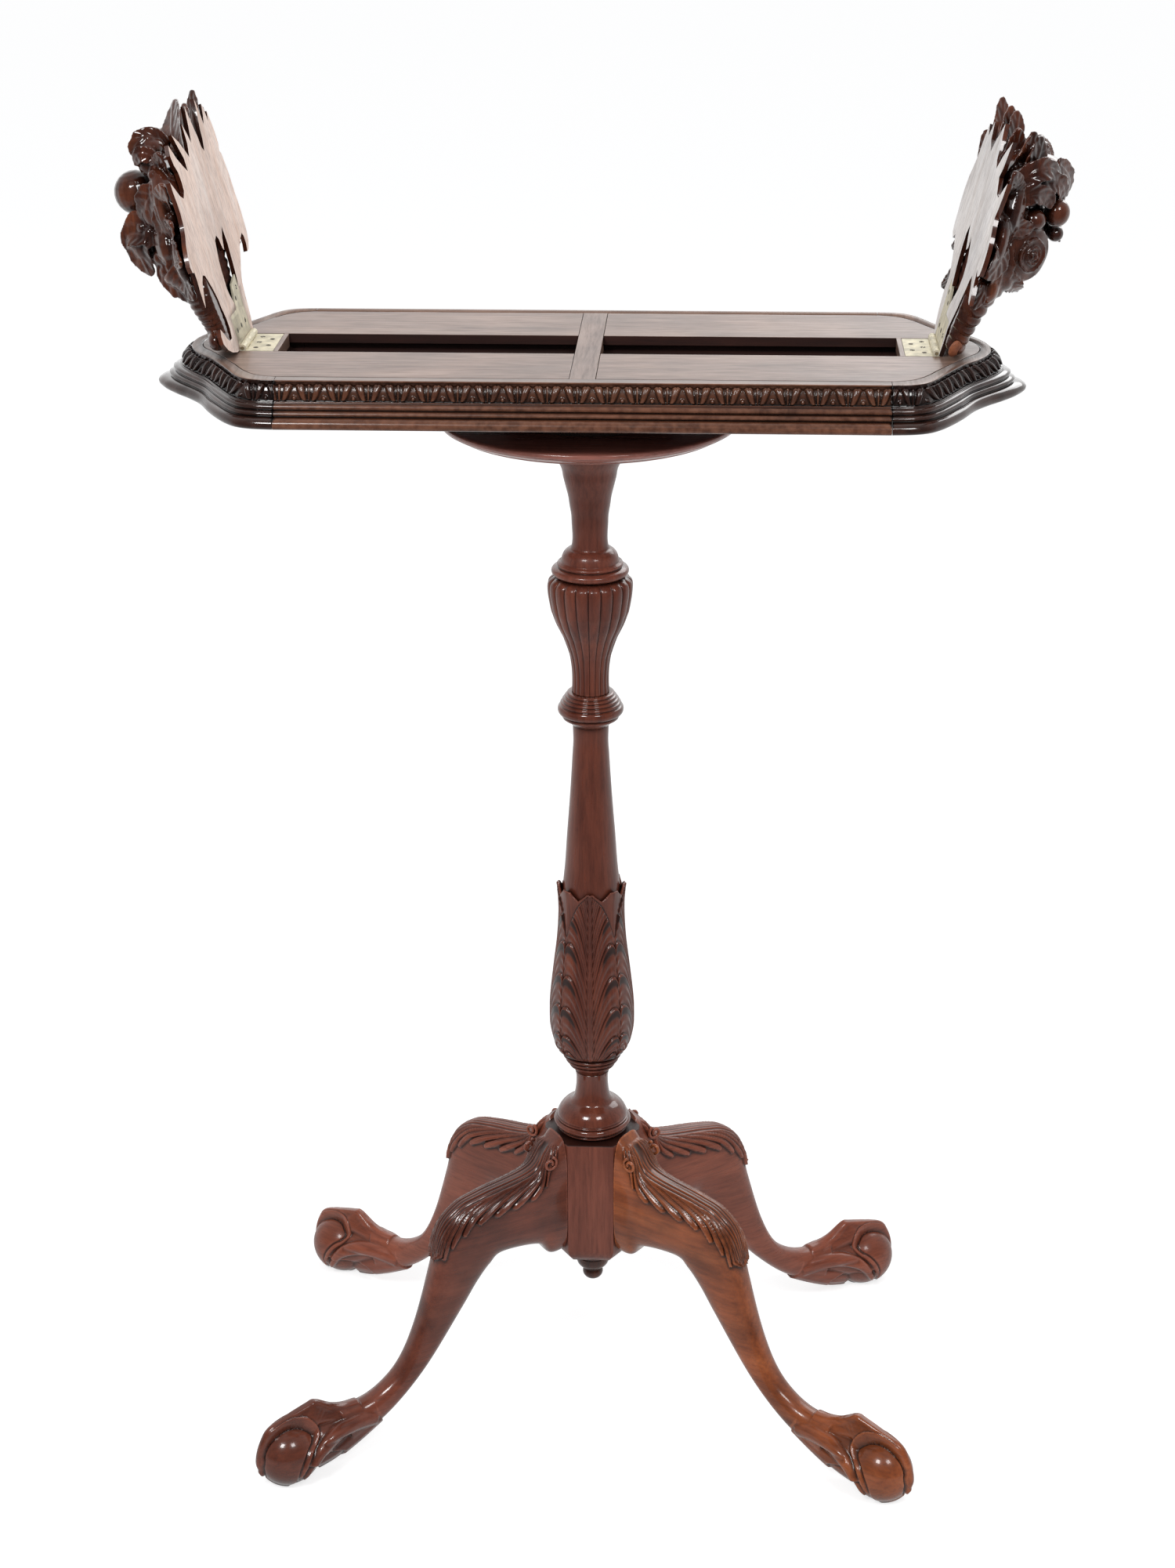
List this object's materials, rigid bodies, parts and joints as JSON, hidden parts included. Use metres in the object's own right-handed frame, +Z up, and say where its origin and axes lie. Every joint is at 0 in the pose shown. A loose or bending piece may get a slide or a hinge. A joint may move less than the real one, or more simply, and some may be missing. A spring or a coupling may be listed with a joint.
{
  "type": "book stand",
  "caption": "Carved pedestal stand whose turning, moulded top holds books between hinged bookends that slide in slots, on a reeded pillar with cabriole legs.",
  "frame": {"origin": "on the floor, on the pillar's axis, midway between the feet", "axes": "+Z up, +X towards the right end of the top, +Y towards the rear"},
  "size_m": [0.5776, 0.305, 0.9065],
  "materials": {
    "weathered_top": "weathered grey-brown mahogany, satin",
    "red_mahogany": "waxed red-brown mahogany, worn on the edges",
    "dark_mahogany": "dark polished mahogany",
    "carved_wood": "dark glossy carved mahogany with a raw, pale sawn back",
    "inner_wood": "unpolished brown wood",
    "pale_brass": "old pale brass, dull",
    "steel": "plain steel"
  },
  "bodies": {
    "base": {"leg_front_left": "red_mahogany", "leg_front_right": "red_mahogany", "leg_rear_left": "red_mahogany", "leg_rear_right": "red_mahogany", "base_block": "red_mahogany", "drop_finial": "dark_mahogany", "pillar_foot": "red_mahogany", "leaf_baluster": "red_mahogany", "ring_collar": "dark_mahogany", "reeded_vase": "red_mahogany", "turntable_disc": "red_mahogany", "pivot_bolt": "steel", "pivot_washer": "steel", "pivot_nut": "steel"},
    "top": {"bearing_block": "dark_mahogany", "under_board": "inner_wood", "centre_band": "weathered_top", "left_front_panel": "weathered_top", "left_rear_panel": "weathered_top", "right_front_panel": "weathered_top", "right_rear_panel": "weathered_top", "left_front_runner": "inner_wood", "left_rear_runner": "inner_wood", "right_front_runner": "inner_wood", "right_rear_runner": "inner_wood", "left_end_block": "inner_wood", "right_end_block": "inner_wood", "left_end_clamp": "weathered_top", "right_end_clamp": "weathered_top", "front_moulding": "red_mahogany", "rear_moulding": "red_mahogany", "left_end_moulding": "dark_mahogany", "right_end_moulding": "dark_mahogany"},
    "left_slide": {"left_slide_block": "inner_wood", "left_slide_strip": "weathered_top", "left_fixed_leaf": "pale_brass", "left_hinge_pin": "pale_brass"},
    "right_slide": {"right_slide_block": "inner_wood", "right_slide_strip": "weathered_top", "right_fixed_leaf": "pale_brass", "right_hinge_pin": "pale_brass"},
    "left_bookend": {"left_bookend_carving": "carved_wood", "left_moving_leaf": "pale_brass"},
    "right_bookend": {"right_bookend_carving": "carved_wood", "right_moving_leaf": "pale_brass"}
  },
  "joints": [
    {"name": "top_swivel", "type": "hinge", "parent": "base", "child": "top", "pos_m": [0, 0, 0.7163], "axis": [0, 0, 1], "continuous": true},
    {"name": "left_slide_travel", "type": "slide", "parent": "top", "child": "left_slide", "axis": [1, 0, 0], "range_m": [0, 0.182]},
    {"name": "right_slide_travel", "type": "slide", "parent": "top", "child": "right_slide", "axis": [-1, 0, 0], "range_m": [0, 0.182]},
    {"name": "left_bookend_fold", "type": "hinge", "parent": "left_slide", "child": "left_bookend", "pos_m": [-0.2135, 0, 0.7613], "axis": [0, -1, 0], "range_deg": [-104, 0]},
    {"name": "right_bookend_fold", "type": "hinge", "parent": "right_slide", "child": "right_bookend", "pos_m": [0.2135, 0, 0.7613], "axis": [0, 1, 0], "range_deg": [-104, 0]}
  ]
}
